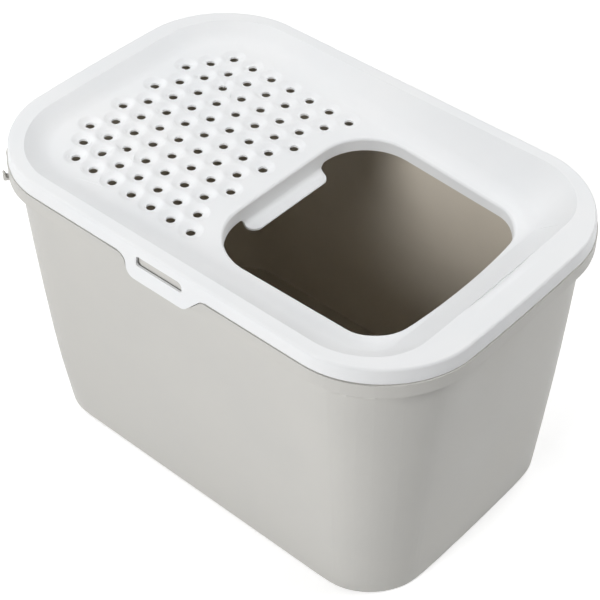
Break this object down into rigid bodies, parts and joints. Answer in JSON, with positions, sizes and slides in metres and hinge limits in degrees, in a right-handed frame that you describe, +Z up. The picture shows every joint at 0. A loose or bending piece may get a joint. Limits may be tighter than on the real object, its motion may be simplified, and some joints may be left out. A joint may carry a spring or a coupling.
{
  "type": "top entry litter box",
  "caption": "Tapered open tub with large corner radii and a lift-off lid: dished, perforated top with a rounded entry opening, finger grip and side latch tabs.",
  "frame": {"origin": "centre of the tub's flat base, on the surface it stands on", "axes": "+X along the long side, from the perforated end towards the entry; +Y across, away from the pictured long side; +Z up"},
  "size_m": [0.5896, 0.3942, 0.36],
  "materials": {
    "tub_plastic": "satin warm grey injection moulding",
    "lid_plastic": "satin white injection moulding"
  },
  "bodies": {
    "tub": {"tub": "tub_plastic"},
    "lid": {"lid": "lid_plastic"}
  },
  "joints": [
    {"name": "lid_lift", "type": "slide", "parent": "tub", "child": "lid", "axis": [0, 0, 1], "range_m": [0, 0.12]}
  ]
}
